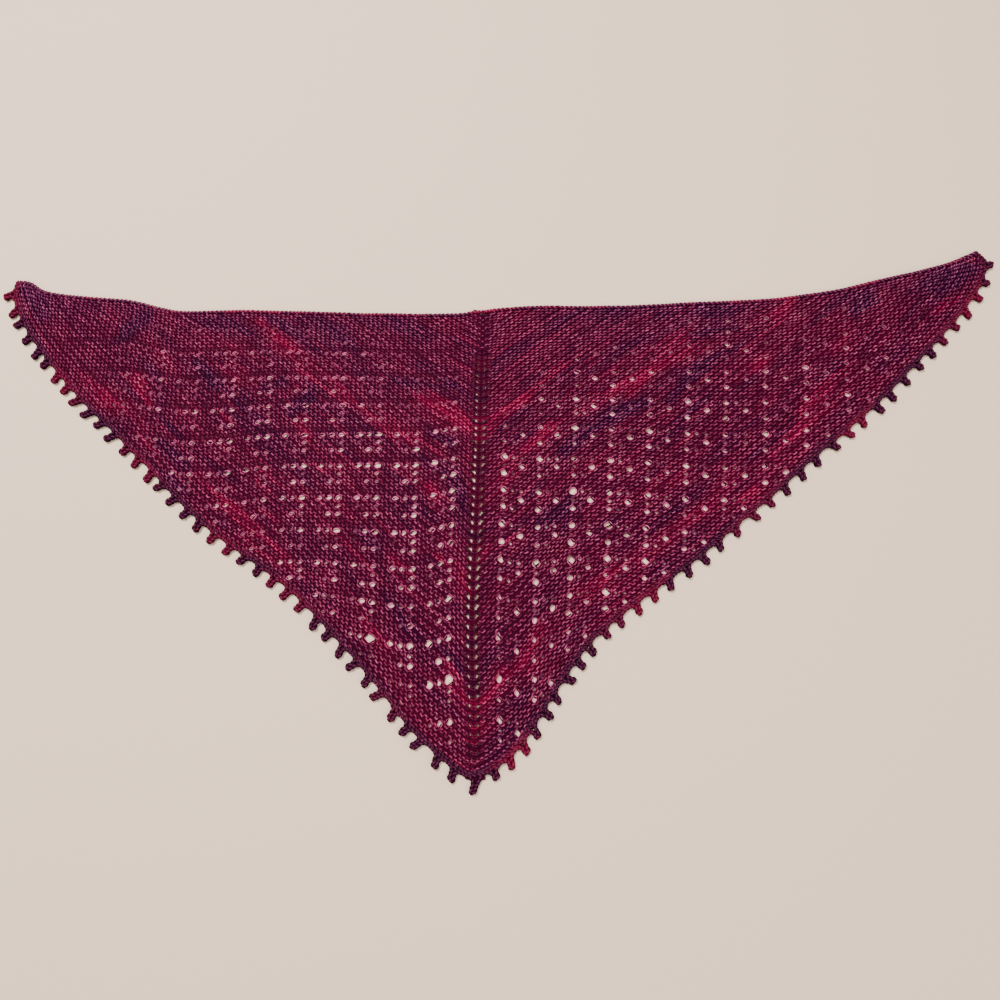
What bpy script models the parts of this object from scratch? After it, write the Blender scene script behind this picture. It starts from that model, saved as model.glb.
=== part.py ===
"""A hand-knitted triangular lace shawl, laid out flat with its neck edge away from the viewer.

It is knitted in one go from the middle of the neck edge downwards: a centre spine, a lace wing on each
side of it, a slim rolled edge along the neck, and a bind-off along both lower edges with a picot, a
small knitted nub, every few stitches. Each of these is a separate closed wall of one thickness, with
its underside flat on the surface that the shawl lies on.
"""
import random

import bmesh
import bpy
from mathutils import Vector

# Driving dimensions, in metres. "out" is the distance from the spine and "up" is the height above the
# middle of the neck edge, so that a lower edge has a negative "up".
WALL = 0.003  # thickness of the knitted cloth
GAP = 0.0003  # between neighbouring pieces
SPINE_HALF = 0.0042  # half the width of the spine stitch and its eyelets
NECK_WIDTH = 0.0042  # the rolled edge along the neck
BAND_WIDTH = 0.0042  # the bound-off edge
POINT_HALF = 0.0070  # half the width of the piece at the bottom point
STEP = 0.006  # spacing of the points along an outline
SPINE_STEPS = 14  # points along each side of the spine
POINT_SLOPE = 0.62  # rise of the lower edges beside the bottom point, for each metre out
TIP_ROOM = 0.006  # no picot is nearer to the top corner of a tip

# The spine runs down the middle and wanders a few millimetres: (down, drift to +X)
SPINE = ((0.000, 0.0000), (0.180, -0.0008), (0.290, -0.0032), (0.345, -0.0034), (0.405, -0.0015), (0.475, 0.0018))

# The neck edge of each wing from the spine to its tip: (out, up)
NECK = {
    "left": (
        (0.000, 0.003), (0.012, 0.002), (0.030, -0.001), (0.098, -0.002), (0.178, -0.001), (0.258, 0.000),
        (0.318, -0.002), (0.345, 0.002), (0.378, 0.010), (0.418, 0.013), (0.458, 0.017), (0.476, 0.021),
        (0.490, 0.030), (0.503, 0.032), (0.514, 0.031),
    ),
    "right": (
        (0.000, 0.003), (0.022, 0.006), (0.062, 0.009), (0.142, 0.010), (0.222, 0.015), (0.302, 0.020),
        (0.342, 0.025), (0.382, 0.032), (0.422, 0.043), (0.462, 0.053), (0.502, 0.064), (0.526, 0.074),
        (0.540, 0.081),
    ),
}

# The lower edge of each wing from the bottom point, out to the tip and up its blunt end: (out, up)
LOWER = {
    "left": (
        (0.000, -0.475), (0.018, -0.468), (0.058, -0.434), (0.098, -0.386), (0.138, -0.342), (0.178, -0.304),
        (0.218, -0.275), (0.258, -0.249), (0.298, -0.217), (0.338, -0.179), (0.378, -0.142), (0.418, -0.106),
        (0.458, -0.065), (0.488, -0.032), (0.508, -0.003), (0.516, 0.012), (0.514, 0.031),
    ),
    "right": (
        (0.000, -0.475), (0.022, -0.463), (0.040, -0.448), (0.057, -0.427), (0.080, -0.394), (0.114, -0.350),
        (0.150, -0.319), (0.186, -0.292), (0.226, -0.262), (0.266, -0.228), (0.306, -0.194), (0.346, -0.158),
        (0.386, -0.125), (0.426, -0.089), (0.466, -0.049), (0.502, -0.012), (0.532, 0.021), (0.549, 0.046),
        (0.553, 0.066), (0.540, 0.081),
    ),
}

# Picots along each lower edge: how far the first one is from the bottom point, how many there are, and
# their spacing near the point, half way and near the tip
PICOTS = {
    "left": {"first": 0.024, "count": 37, "spacing": (0.0195, 0.0193, 0.0185), "seed": 4},
    "right": {"first": 0.019, "count": 37, "spacing": (0.0175, 0.0228, 0.0212), "seed": 9},
}
# A picot's outline from one side of its foot to the other: (along, outwards)
PICOT_OUTLINE = (
    (-0.0044, -0.0006), (-0.0027, 0.0022), (-0.0031, 0.0058), (-0.0019, 0.0086),
    (0.0008, 0.0092), (0.0029, 0.0072), (0.0027, 0.0024), (0.0044, -0.0006),
)
SCALLOP = 0.0014  # how far the edge pulls in between two picots

YARN_COLOUR = (0.12, 0.008, 0.04, 1.0)  # deep raspberry, linear
EDGE_COLOUR = (0.06, 0.006, 0.02, 1.0)  # the darker yarn of the edges

SIDE = {"left": -1.0, "right": 1.0}


def smooth_value(rows, at):
    """The second column at a value of the first, on a smooth curve through the rows."""
    at = min(max(at, rows[0][0]), rows[-1][0])
    i = max(k for k in range(len(rows) - 1) if rows[k][0] <= at)
    (x0, y0), (x1, y1) = rows[i], rows[i + 1]
    before, after = rows[max(i - 1, 0)], rows[min(i + 2, len(rows) - 1)]
    slope0 = (y1 - before[1]) / (x1 - before[0])
    slope1 = (after[1] - y0) / (after[0] - x0)
    t, w = (at - x0) / (x1 - x0), x1 - x0
    return (
        (2 * t**3 - 3 * t**2 + 1) * y0
        + (t**3 - 2 * t**2 + t) * w * slope0
        + (3 * t**2 - 2 * t**3) * y1
        + (t**3 - t**2) * w * slope1
    )


def on_cloth(side, out, up):
    """The place in plan of a point at a distance out from the spine."""
    return Vector((SIDE[side] * out + smooth_value(SPINE, -up), up))


class Path:
    """A smooth line in plan through rows of (out, up), read by the distance along it."""

    def __init__(self, side, rows, outward):
        dense = []
        for i in range(len(rows) - 1):
            p = [Vector(rows[min(max(k, 0), len(rows) - 1)]) for k in range(i - 1, i + 3)]
            for k in range(8):
                t = k / 8
                dense.append(
                    0.5
                    * (
                        2 * p[1]
                        + (p[2] - p[0]) * t
                        + (2 * p[0] - 5 * p[1] + 4 * p[2] - p[3]) * t * t
                        + (3 * p[1] - p[0] - 3 * p[2] + p[3]) * t**3
                    )
                )
        dense.append(Vector(rows[-1]))
        self.points = [on_cloth(side, out, up) for out, up in dense]
        self.reached = [0.0]
        for a, b in zip(self.points, self.points[1:]):
            self.reached.append(self.reached[-1] + (b - a).length)
        self.length = self.reached[-1]
        self.turn = SIDE[side] * outward

    def at(self, distance, outwards=0.0):
        """The point at a distance along the line, moved outwards from the cloth."""
        i = max(k for k in range(len(self.points) - 1) if k == 0 or self.reached[k] < distance)
        a, b = self.points[i], self.points[i + 1]
        along = (b - a).normalized()
        share = (distance - self.reached[i]) / (self.reached[i + 1] - self.reached[i])
        return a.lerp(b, share) + Vector((-along.y, along.x)) * self.turn * outwards

    def stretch(self, start, end, outwards):
        """Evenly spaced points between two distances, moved outwards."""
        count = max(2, round((end - start) / STEP))
        return [self.at(start + (end - start) * k / count, outwards) for k in range(count + 1)]


def cloth_material(name, colour):
    material = bpy.data.materials.new(name)
    material.use_nodes = True
    shader = material.node_tree.nodes["Principled BSDF"]
    shader.inputs["Base Color"].default_value = colour
    shader.inputs["Roughness"].default_value = 0.85
    shader.inputs["Metallic"].default_value = 0.0
    return material


def wall(name, outline, material):
    """A piece of cloth: its outline in plan, raised from the surface by the cloth's thickness."""
    bm = bmesh.new()
    face = bm.faces.new([bm.verts.new((p.x, p.y, 0.0)) for p in outline])
    raised = bmesh.ops.extrude_face_region(bm, geom=[face])["geom"]
    bmesh.ops.translate(bm, verts=[v for v in raised if isinstance(v, bmesh.types.BMVert)], vec=(0, 0, WALL))
    bmesh.ops.recalc_face_normals(bm, faces=bm.faces)
    mesh = bpy.data.meshes.new(name)
    bm.to_mesh(mesh)
    bm.free()
    mesh.materials.append(material)
    piece = bpy.data.objects.new(name, mesh)
    bpy.context.scene.collection.objects.link(piece)
    return piece


def wing(side, neck, lower, material):
    """The lace panel between the spine, the neck edge and the bound-off edge."""
    inner = SPINE_HALF + GAP
    neck_inset, lower_inset = NECK_WIDTH + GAP, BAND_WIDTH + GAP
    top = neck.stretch(inner, neck.length - lower_inset, -neck_inset)
    bottom = lower.stretch(inner + 0.8 * lower_inset, lower.length - neck_inset - STEP / 3, -lower_inset)
    spine_side = [
        on_cloth(side, inner, up)
        for up in (top[0].y + (bottom[0].y - top[0].y) * k / SPINE_STEPS for k in range(SPINE_STEPS + 1))
    ]
    return wall(side + "_wing", top[:0:-1] + spine_side + bottom, material)


def centre_spine(neck, lower, material):
    """The strip with the spine stitch and the eyelets beside it."""
    bottom = lower["left"].at(0, -BAND_WIDTH - GAP).y
    top = min(line.at(out, -NECK_WIDTH - GAP).y for line in neck.values() for out in (0.0, 2 * SPINE_HALF))
    heights = [top + (bottom - top) * k / SPINE_STEPS for k in range(SPINE_STEPS + 1)]
    left = [on_cloth("left", SPINE_HALF, up) for up in heights]
    right = [on_cloth("right", SPINE_HALF, up) for up in heights]
    left[-1].y += SPINE_HALF * POINT_SLOPE
    right[-1].y += SPINE_HALF * POINT_SLOPE
    point = on_cloth("left", 0.0, bottom)
    return wall("centre_spine", left + [point] + right[::-1], material)


def neck_edge(side, neck, material):
    """The rolled edge of one wing's neck line, from the middle to the tip."""
    end = neck.length - BAND_WIDTH - GAP
    outer = neck.stretch(GAP / 2, end, 0.0)
    inner = neck.stretch(GAP / 2, end, -NECK_WIDTH)
    outer[0].x = inner[0].x = on_cloth(side, GAP / 2, 0.0).x
    return wall(side + "_neck_edge", outer + inner[::-1], material)


def picot_places(side):
    """(distance along the edge, lean, size) of each picot."""
    spec = PICOTS[side]
    draw = random.Random(spec["seed"])
    near, middle, far = spec["spacing"]
    places, distance = [], spec["first"]
    for k in range(spec["count"]):
        share = k / (spec["count"] - 1)
        places.append((distance + draw.uniform(-0.0014, 0.0014), draw.uniform(-0.45, 0.45), draw.uniform(0.85, 1.12)))
        distance += near + (middle - near) * 2 * share if share < 0.5 else middle + (far - middle) * (2 * share - 1)
    return places


def picot(lower, distance, lean, size):
    """The outline of one picot, a finger that leans along the edge."""
    return [
        lower.at(distance + along + lean * max(outwards, 0.0), outwards * size)
        for along, outwards in PICOT_OUTLINE
    ]


def picot_edge(side, lower, material):
    """The bound-off band of one lower edge with its picots."""
    start, end = POINT_HALF + GAP, lower.length
    places = [p for p in picot_places(side) if p[0] < end - TIP_ROOM]
    outer = [lower.at(start, -SCALLOP / 2)]
    for k, (distance, lean, size) in enumerate(places):
        outer += picot(lower, distance, lean, size)
        if k + 1 < len(places):
            outer.append(lower.at((distance + places[k + 1][0]) / 2, -SCALLOP))
    outer.append(lower.at(end, 0.0))
    inner = lower.stretch(start, end, -BAND_WIDTH)
    return wall(side + "_picot_edge", outer + inner[::-1], material)


def point_picot(lower, material):
    """The bound-off stitches at the bottom point and their longer picot."""
    left, right = lower["left"], lower["right"]
    tip = left.at(0.0)
    finger = [tip + Vector((x, y)) for x, y in (
        (-0.0032, -0.0010), (-0.0028, -0.0060), (-0.0034, -0.0100), (-0.0022, -0.0128),
        (0.0006, -0.0134), (0.0026, -0.0112), (0.0022, -0.0060), (0.0032, -0.0010),
    )]
    inside = tip + Vector((0.0, BAND_WIDTH))
    outline = [left.at(POINT_HALF, -BAND_WIDTH), left.at(POINT_HALF, -SCALLOP / 2)] + finger
    outline += [right.at(POINT_HALF, -SCALLOP / 2), right.at(POINT_HALF, -BAND_WIDTH), inside]
    return wall("point_picot", outline, material)


def centre_on_origin(pieces):
    """Moves the shawl so that the middle of its box stands on the origin."""
    corners = [v.co for piece in pieces for v in piece.data.vertices]
    low = Vector((min(c.x for c in corners), min(c.y for c in corners), 0.0))
    high = Vector((max(c.x for c in corners), max(c.y for c in corners), 0.0))
    for piece in pieces:
        for vertex in piece.data.vertices:
            vertex.co -= (low + high) / 2


for old in list(bpy.data.objects):
    bpy.data.objects.remove(old)

yarn = cloth_material("raspberry yarn", YARN_COLOUR)
edge_yarn = cloth_material("dark edge yarn", EDGE_COLOUR)
neck_lines = {side: Path(side, NECK[side], 1.0) for side in SIDE}
lower_lines = {side: Path(side, LOWER[side], -1.0) for side in SIDE}

shawl = [centre_spine(neck_lines, lower_lines, yarn), point_picot(lower_lines, edge_yarn)]
for side in SIDE:
    shawl.append(wing(side, neck_lines[side], lower_lines[side], yarn))
    shawl.append(neck_edge(side, neck_lines[side], edge_yarn))
    shawl.append(picot_edge(side, lower_lines[side], edge_yarn))
centre_on_origin(shawl)
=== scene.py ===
"""A hand-knitted triangular lace shawl in raspberry and plum wool, lying flat on a pale surface.

It is knitted from the middle of the neck edge down: two lace wings that mirror each other, a spine
between them, a rolled edge along the neck and a bound-off lower edge with picots. The knitting is
made stitch by stitch, as strands of yarn that loop through the rows before and after them.
"""
import math
import random

import bmesh
import bpy
import numpy as np
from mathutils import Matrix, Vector


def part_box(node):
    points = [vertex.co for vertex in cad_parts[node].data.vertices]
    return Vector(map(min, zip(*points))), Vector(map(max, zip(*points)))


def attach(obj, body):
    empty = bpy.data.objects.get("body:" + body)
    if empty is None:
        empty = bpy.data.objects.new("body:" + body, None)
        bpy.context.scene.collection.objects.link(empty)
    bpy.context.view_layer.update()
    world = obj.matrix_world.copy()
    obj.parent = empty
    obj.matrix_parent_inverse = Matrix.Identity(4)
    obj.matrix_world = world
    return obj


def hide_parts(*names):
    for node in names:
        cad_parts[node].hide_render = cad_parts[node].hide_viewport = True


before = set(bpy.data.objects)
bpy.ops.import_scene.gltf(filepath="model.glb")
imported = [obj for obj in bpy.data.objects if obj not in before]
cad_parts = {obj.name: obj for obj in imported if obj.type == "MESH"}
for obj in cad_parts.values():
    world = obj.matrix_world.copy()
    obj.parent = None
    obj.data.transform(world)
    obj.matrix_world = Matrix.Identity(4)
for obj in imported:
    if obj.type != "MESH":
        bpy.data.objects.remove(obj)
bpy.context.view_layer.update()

# The surface that the shawl lies on, with soft daylight from a window up and to the left, and the
# camera above the shawl's lower half, tilted a little towards its neck edge.
CAMERA_AT = (0.0225, -0.367, 0.7155)  # from the middle of the neck edge
CAMERA_DOWN = 77.3  # degrees below the horizon
CAMERA_TURN = 0.7  # degrees, anticlockwise
LENS = 26.0
FLOOR_COLOUR = (0.92, 0.69, 0.52)

# The middle of the neck edge, in the row's frame
neck_middle = Vector((
    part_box("left_neck_edge")[1][0] + 0.00015,
    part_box("point_picot")[0][1] + 0.4884,
    0.0,
))


def area_light(name, at, aim, size, power, colour):
    """A soft round light at a place, aimed at another."""
    lamp = bpy.data.lights.new(name, "AREA")
    lamp.shape = "DISK"
    lamp.size = size
    lamp.energy = power
    lamp.color = colour
    light = bpy.data.objects.new(name, lamp)
    light.location = at
    light.rotation_euler = (Vector(aim) - Vector(at)).to_track_quat("-Z", "Y").to_euler()
    bpy.context.scene.collection.objects.link(light)


area_light("window", (-0.80, 0.95, 2.3), (0, 0, 0), 0.9, 92.0, (1.0, 0.98, 0.96))
area_light("room_fill", (1.2, -1.4, 1.8), (0, 0, 0), 2.4, 24.0, (1.0, 0.96, 0.93))

world = bpy.data.worlds.new("soft room light")
world.use_nodes = True
world.node_tree.nodes["Background"].inputs["Color"].default_value = (1.0, 0.96, 0.94, 1.0)
world.node_tree.nodes["Background"].inputs["Strength"].default_value = 0.70
bpy.context.scene.world = world

floor_bm = bmesh.new()
bmesh.ops.create_grid(floor_bm, x_segments=1, y_segments=1, size=4.0)
floor_mesh = bpy.data.meshes.new("pale_floor")
floor_bm.to_mesh(floor_mesh)
floor_bm.free()
floor_material = bpy.data.materials.new("pale matt floor")
floor_material.use_nodes = True
floor_shader = floor_material.node_tree.nodes["Principled BSDF"]
floor_shader.inputs["Base Color"].default_value = (*FLOOR_COLOUR, 1.0)
floor_shader.inputs["Roughness"].default_value = 0.9
floor_mesh.materials.append(floor_material)
pale_floor = bpy.data.objects.new("pale_floor", floor_mesh)
bpy.context.scene.collection.objects.link(pale_floor)

camera_data = bpy.data.cameras.new("camera")
camera_data.lens = LENS
camera_data.sensor_width = 36.0
camera = bpy.data.objects.new("camera", camera_data)
camera.location = neck_middle + Vector(CAMERA_AT)
camera.rotation_euler = (math.radians(90 - CAMERA_DOWN), 0.0, math.radians(CAMERA_TURN))
bpy.context.scene.collection.objects.link(camera)
bpy.context.scene.camera = camera

# The two wings: lace panels in garter stitch, knitted in wool. The rows run down from the neck edge to
# the spine and up again, a ridge for every two rows, and the lace is a repeat of seven eyelets, each a
# yarn-over that the next row opens.
SPINE = (  # how far the spine strays to the right of straight: (down, out)
    (0.000, 0.0000), (0.180, -0.0018), (0.290, -0.0046), (0.345, -0.0048), (0.405, -0.0020), (0.475, 0.0012),
)
NECK = {  # the neck edge of each wing from the spine to its tip: (out, up)
    "left": (
        (0.000, 0.003), (0.012, 0.002), (0.030, -0.001), (0.098, -0.002), (0.178, -0.001), (0.258, 0.000),
        (0.318, -0.002), (0.345, 0.002), (0.378, 0.010), (0.418, 0.013), (0.458, 0.017), (0.476, 0.021),
        (0.490, 0.030), (0.500, 0.032), (0.508, 0.031),
    ),
    "right": (
        (0.000, 0.003), (0.022, 0.006), (0.062, 0.009), (0.142, 0.010), (0.222, 0.015), (0.302, 0.020),
        (0.342, 0.025), (0.382, 0.032), (0.422, 0.043), (0.462, 0.053), (0.502, 0.064), (0.526, 0.074),
        (0.540, 0.081),
    ),
}
LOWER = {  # the lower edge from the bottom point, out to the tip and up its blunt end: (out, up)
    "left": (
        (0.000, -0.475), (0.018, -0.468), (0.058, -0.434), (0.098, -0.386), (0.138, -0.342), (0.178, -0.304),
        (0.218, -0.275), (0.258, -0.249), (0.298, -0.217), (0.338, -0.179), (0.378, -0.142), (0.418, -0.106),
        (0.457, -0.065), (0.485, -0.032), (0.502, -0.003), (0.509, 0.012), (0.508, 0.031),
    ),
    "right": (
        (0.000, -0.475), (0.022, -0.463), (0.040, -0.448), (0.057, -0.427), (0.080, -0.394), (0.114, -0.350),
        (0.150, -0.319), (0.186, -0.292), (0.226, -0.262), (0.266, -0.228), (0.306, -0.194), (0.346, -0.158),
        (0.386, -0.125), (0.426, -0.089), (0.465, -0.049), (0.500, -0.012), (0.528, 0.021), (0.544, 0.046),
        (0.549, 0.066), (0.540, 0.081),
    ),
}
SIDE = {"left": -1.0, "right": 1.0}

# Where the columns of stitches lie: (column from the spine, out at the neck edge, out at the lower edge)
COLUMNS = {
    "left": (
        (0, 0.0, 0.0), (3, 0.0275, 0.025), (7, 0.068, 0.062), (15, 0.146, 0.139), (19, 0.187, 0.174),
        (27, 0.264, 0.254), (35, 0.340, 0.335), (43, 0.411, 0.411), (51, 0.478, 0.478), (58.5, 0.508, 0.508),
    ),
    "right": (
        (0, 0.0, 0.0), (3, 0.027, 0.026), (7, 0.0650, 0.061), (11, 0.1030, 0.095), (15, 0.143, 0.131),
        (27, 0.264, 0.250), (35, 0.347, 0.338), (43, 0.430, 0.430), (51, 0.507, 0.507), (58.5, 0.540, 0.540),
    ),
}
TIP_COLUMN = 43.0  # from here on the lower edge is shared out evenly up to the top corner of the tip
LAST_RIDGE = 58.5
TOP_RIDGE = -0.3
# The ridges lie closer together near the neck: (share of the way down, pull at the spine, beside it,
# in the middle of a wing)
RIDGE_PULL = (
    (0.00, 0.25, 0.24, 0.22), (0.20, 0.255, 0.27, 0.23), (0.35, 0.245, 0.278, 0.185),
    (0.50, 0.21, 0.244, 0.14), (0.65, 0.14, 0.21, 0.095), (0.80, 0.03, 0.17, 0.06),
    (0.92, -0.10, 0.10, 0.04), (1.00, -0.15, 0.05, 0.03),
)
PULL_COLUMNS = (0.5, 3.0, 15.0)
EDGE_INSET = 0.0030  # the wings' yarn stops this far inside the shawl's lower outline
NECK_INSET = 0.0021  # and this far inside its neck edge, where the rolled edge covers it
SWAY_COLUMNS = 15.0  # the spine's wander is felt this far into each wing
RIDGE_LIFT = {"left": 0.0036, "right": 0.0}  # the left wing's ridges lie a little higher beside the spine


def smooth_line(rows):
    """Points of a smooth curve through the rows, eight to a span."""
    rows = np.array(rows, dtype=float)
    ends = np.vstack([rows[:1], rows, rows[-1:]])
    t = (np.arange(8) / 8)[:, None]
    spans = [
        0.5 * (2 * b + (c - a) * t + (2 * a - 5 * b + 4 * c - d) * t**2 + (3 * b - a - 3 * c + d) * t**3)
        for a, b, c, d in zip(ends, ends[1:], ends[2:], ends[3:])
    ]
    return np.vstack(spans + [rows[-1:]])


SPINE_LINE = smooth_line(SPINE)


def on_cloth(side, out, up):
    """The places in plan, in the row's frame, of points out from the spine and up from the neck's middle."""
    drift = np.interp(-up, SPINE_LINE[:, 0], SPINE_LINE[:, 1])
    return np.stack([SIDE[side] * out + drift + neck_middle.x, up + neck_middle.y], axis=-1)


class Edge:
    """One edge of a wing in plan, read by the distance along it."""

    def __init__(self, side, rows, outward):
        self.rows = smooth_line(rows)
        self.points = on_cloth(side, self.rows[:, 0], self.rows[:, 1])
        steps = np.linalg.norm(np.diff(self.points, axis=0), axis=1)
        self.reached = np.concatenate([[0.0], np.cumsum(steps)])
        self.length = self.reached[-1]
        self.turn = SIDE[side] * outward

    def along(self, distance):
        """The edge's direction at a distance along it."""
        reach = 0.002
        step = self.at(distance + reach) - self.at(distance - reach)
        return step / np.linalg.norm(step, axis=-1, keepdims=True)

    def at(self, distance, outwards=None):
        """Points at distances along the edge, moved outwards from the cloth."""
        place = np.stack([np.interp(distance, self.reached, self.points[:, k]) for k in (0, 1)], axis=-1)
        if outwards is None:
            return place
        along = self.along(distance)
        across = np.stack([-along[..., 1], along[..., 0]], axis=-1) * self.turn
        return place + across * np.expand_dims(np.asarray(outwards, dtype=float), -1)


neck_edges = {side: Edge(side, NECK[side], 1.0) for side in SIDE}
lower_edges = {side: Edge(side, LOWER[side], -1.0) for side in SIDE}


def place_on_wing(side, column, ridge):
    """The places in plan of points on a wing, by column from the spine and ridge down from the neck."""
    table = smooth_line(COLUMNS[side])
    neck, lower = neck_edges[side], lower_edges[side]
    out = np.interp(column, table[:, 0], table[:, 1])
    top = on_cloth(side, out, np.interp(out, neck.rows[:, 0], neck.rows[:, 1]) - NECK_INSET)
    widest = int(np.argmax(lower.rows[:, 0]))
    low_out = np.interp(np.minimum(column, TIP_COLUMN), table[:, 0], table[:, 2])
    reach = np.interp(low_out, lower.rows[: widest + 1, 0], lower.reached[: widest + 1])
    past = np.clip((column - TIP_COLUMN) / (LAST_RIDGE - TIP_COLUMN), 0.0, 1.0)
    bottom = lower.at(reach + (lower.length - reach) * past, -EDGE_INSET)
    share = np.clip((ridge - TOP_RIDGE) / np.maximum(LAST_RIDGE - column, 0.05), 0.0, 1.0)
    pulls = np.array(RIDGE_PULL)
    near, beside, middle = (np.interp(share, pulls[:, 0], pulls[:, k]) for k in (1, 2, 3))
    towards = np.clip((column - PULL_COLUMNS[0]) / (PULL_COLUMNS[1] - PULL_COLUMNS[0]), 0.0, 1.0)
    away = np.clip((column - PULL_COLUMNS[1]) / (PULL_COLUMNS[2] - PULL_COLUMNS[1]), 0.0, 1.0)
    pull = (near + (beside - near) * towards) * (1 - away) + middle * away
    down = share - share * (1 - share) * pull
    place = top + (bottom - top) * down[..., None]
    felt = np.clip(1.0 - column / SWAY_COLUMNS, 0.0, 1.0)
    depth = neck_middle.y - place[..., 1]
    straight = SPINE_LINE[0, 1] + (SPINE_LINE[-1, 1] - SPINE_LINE[0, 1]) * down
    sway = (np.interp(depth, SPINE_LINE[:, 0], SPINE_LINE[:, 1]) - straight) * felt
    lift = RIDGE_LIFT[side] * 4 * down * (1 - down) * felt * np.clip(column / 2.0, 0.0, 1.0)
    return place + np.stack([sway, lift], axis=-1)


# The lace repeat. Seven eyelets, opened to different shares, to each repeat of four columns and four
# ridges, thirteen repeats along the spine and one fewer in each column outwards.
REPEAT = (  # (column, ridge, share on the left wing, share on the right wing)
    (0, 0, 1.04, 1.14), (1, 0, 0.86, 0.56), (2, 0, 0.90, 0.54),
    (0, 1, 0.70, 0.54), (2, 1, 0.46, 0.98),
    (0, 2, 0.84, 0.96), (1, 2, 0.82, 0.56),
)
REPEATS = 13
LOW_DEPTHS = (0.29, 0.36)  # between these depths towards the point
LOW_SHARE_POWER = {"left": 2.4, "right": 1.0}  # the left wing's smaller eyelets close up
FIRST_COLUMN, FIRST_RIDGE, REPEAT_STEP = 3, 3, 4
YARN_RADIUS = 0.00112

# How wide the eyelets are pulled open, in metres from their middle: (side, out, up, half width, half
# height). Each eyelet takes its opening from the nearest rows.
OPENING = (
    ("left", 0.03, -0.03, 0.0008, 0.0004), ("left", 0.03, -0.10, 0.0024, 0.0010),
    ("left", 0.03, -0.18, 0.0046, 0.0024), ("left", 0.03, -0.30, 0.0040, 0.0026),
    ("left", 0.03, -0.38, 0.0040, 0.0041), ("left", 0.04, -0.43, 0.0016, 0.0024),
    ("left", 0.15, -0.02, 0.0026, 0.0007), ("left", 0.15, -0.07, 0.0038, 0.0014),
    ("left", 0.15, -0.17, 0.0041, 0.0021), ("left", 0.15, -0.28, 0.0034, 0.0019),
    ("left", 0.25, -0.02, 0.0028, 0.0008), ("left", 0.24, -0.08, 0.0038, 0.0015),
    ("left", 0.24, -0.15, 0.0037, 0.0020), ("left", 0.25, -0.21, 0.0030, 0.0016),
    ("left", 0.34, -0.04, 0.0028, 0.0009), ("left", 0.35, -0.10, 0.0028, 0.0014),
    ("left", 0.42, -0.03, 0.0010, 0.0004), ("left", 0.48, 0.00, 0.0001, 0.0001),
    ("right", 0.03, -0.03, 0.0004, 0.0003), ("right", 0.03, -0.10, 0.0014, 0.0012),
    ("right", 0.03, -0.19, 0.0031, 0.0029), ("right", 0.03, -0.26, 0.0031, 0.0038),
    ("right", 0.03, -0.33, 0.0017, 0.0033), ("right", 0.03, -0.41, 0.0021, 0.0035),
    ("right", 0.08, -0.14, 0.0032, 0.0029), ("right", 0.08, -0.26, 0.0029, 0.0034),
    ("right", 0.15, -0.02, 0.0012, 0.0006), ("right", 0.14, -0.08, 0.0029, 0.0022),
    ("right", 0.16, -0.18, 0.0033, 0.0030), ("right", 0.17, -0.26, 0.0027, 0.0026),
    ("right", 0.25, -0.02, 0.0018, 0.0012), ("right", 0.26, -0.05, 0.0029, 0.0024),
    ("right", 0.24, -0.14, 0.0030, 0.0027), ("right", 0.25, -0.20, 0.0027, 0.0025),
    ("right", 0.33, -0.01, 0.0016, 0.0012), ("right", 0.34, -0.07, 0.0025, 0.0021),
    ("right", 0.39, -0.03, 0.0026, 0.0020), ("right", 0.44, -0.02, 0.0015, 0.0013),
    ("right", 0.48, 0.00, 0.0010, 0.0008), ("right", 0.52, 0.03, 0.0001, 0.0001),
)
OPENING_REACH = 0.045  # how far one row of the table is felt


def opening_at(side, at):
    """The half width and half height that the lace is pulled open to around a place."""
    rows = [row for row in OPENING if row[0] == side]
    places = on_cloth(side, np.array([row[1] for row in rows]), np.array([row[2] for row in rows]))
    weight = np.exp(-np.sum((places - at) ** 2, axis=1) / OPENING_REACH**2) + 1e-9
    return np.array([np.average([row[k] for row in rows], weights=weight) for k in (3, 4)])


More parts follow.
